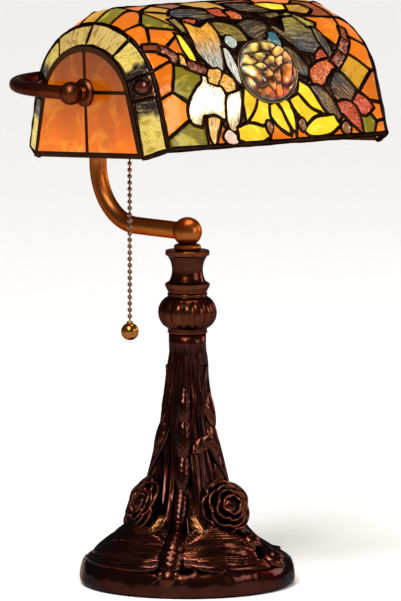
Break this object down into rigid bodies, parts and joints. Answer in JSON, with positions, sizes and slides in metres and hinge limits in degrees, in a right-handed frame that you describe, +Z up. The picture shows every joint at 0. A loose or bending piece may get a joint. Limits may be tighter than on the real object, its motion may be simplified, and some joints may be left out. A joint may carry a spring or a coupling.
{
  "type": "table lamp",
  "caption": "Table lamp with a leaded art-glass barrel shade hung on a horizontal yoke, a curved swivelling arm and a sculpted bronze base with a dragonfly and roses.",
  "frame": {"origin": "centre of the felt pad's flat underside, on the base's axis, where the lamp stands", "axes": "+Z up; X along the shade's long axis, with the hollow pivot and the socket at -X and the thumb knob at +X; -Y is the shade's front"},
  "size_m": [0.2634, 0.1946, 0.3817],
  "materials": {
    "dark_bronze": "dark mahogany bronze, glossy lacquer over a cast surface",
    "cast_bronze": "red-brown bronze with worn copper highlights, semi-gloss",
    "copper_bronze": "copper-brown metallic, satin to semi-gloss",
    "antique_brass": "antique brass, slightly dulled",
    "plain_brass": "turned brass",
    "plain_steel": "zinc-plated steel",
    "base_iron": "black-painted cast iron and sheet steel",
    "felt": "dark felt",
    "black_plastic": "moulded black phenolic and nylon",
    "wire_cover": "gold vinyl wire cover",
    "socket_paper": "fibre insulating sleeve",
    "lamp_cap": "threaded aluminium lamp cap",
    "bulb_glass": "frosted, lit",
    "filament": "tungsten wire on a glass stem",
    "leading": "dark brown-black patina on solder lines",
    "orange_glass": "streaky opalescent orange art glass",
    "yellow_glass": "streaky yellow art glass",
    "olive_glass": "wispy olive-green art glass",
    "amber_glass": "pale amber ripple glass",
    "wing_glass": "brown and olive streaky glass",
    "red_glass": "cracked red-orange glass nuggets",
    "rose_glass": "cast rose jewel, amber with red and brown swirls",
    "stone_glass": "pressed glass cabochons"
  },
  "bodies": {
    "base": {"base_casting": "dark_bronze", "felt_pad": "felt", "base_plate": "base_iron", "ballast_weight": "base_iron", "threaded_rod": "plain_brass", "lock_washer": "plain_steel", "lock_nut": "plain_brass", "cord_bushing": "black_plastic", "dragonfly_figure": "cast_bronze", "dragonfly_wings": "cast_bronze", "rose_right": "cast_bronze", "rose_left": "cast_bronze", "rosebuds": "cast_bronze", "leaf_sprays": "cast_bronze", "neck_vase": "dark_bronze", "neck_collar": "cast_bronze", "neck_washer": "copper_bronze", "base_wire": "wire_cover"},
    "arm": {"swivel_ball": "copper_bronze", "arm_tube": "copper_bronze", "yoke_hub": "copper_bronze", "yoke_hoop": "copper_bronze", "yoke_ball_left": "copper_bronze", "yoke_ball_right": "copper_bronze", "hollow_pivot": "plain_brass", "pivot_screw": "plain_steel", "pivot_knob": "dark_bronze", "pivot_nut": "plain_brass", "arm_wire": "wire_cover", "socket_cap": "antique_brass", "socket_shell": "antique_brass", "socket_liner": "socket_paper", "switch_body": "black_plastic", "screw_shell": "plain_brass", "chain_bell": "antique_brass", "bulb_cap": "lamp_cap", "bulb_glass": "bulb_glass", "bulb_filament": "filament"},
    "shade": {"shade_leading": "leading", "jewel_bezels": "leading", "end_frames": "leading", "front_border_panes": "orange_glass", "back_border_panes": "orange_glass", "front_picture_panes": "orange_glass", "back_picture_panes": "orange_glass", "front_dragonfly_panes": "wing_glass", "back_dragonfly_panes": "wing_glass", "shoulder_panes": "orange_glass", "crown_panes": "olive_glass", "hip_panes_left": "amber_glass", "hip_panes_right": "amber_glass", "end_panes_left": "orange_glass", "end_panes_right": "orange_glass", "rose_jewels": "rose_glass", "cabochons": "stone_glass", "pivot_boss_left": "dark_bronze", "pivot_boss_right": "dark_bronze", "friction_washers": "plain_steel"},
    "chain": {"pull_chain": "antique_brass", "pull_ball": "antique_brass"}
  },
  "joints": [
    {"name": "arm_swivel", "type": "hinge", "parent": "base", "child": "arm", "pos_m": [0, 0, 0.2306], "axis": [0, 0, 1], "range_deg": [-90, 90]},
    {"name": "shade_tilt", "type": "hinge", "parent": "arm", "child": "shade", "pos_m": [0, -0.02, 0.328], "axis": [1, 0, 0], "range_deg": [-35, 24]},
    {"name": "chain_pull", "type": "slide", "parent": "arm", "child": "chain", "axis": [0, 0, -1], "range_m": [0, 0.01], "stiffness_N_per_m": 120}
  ]
}
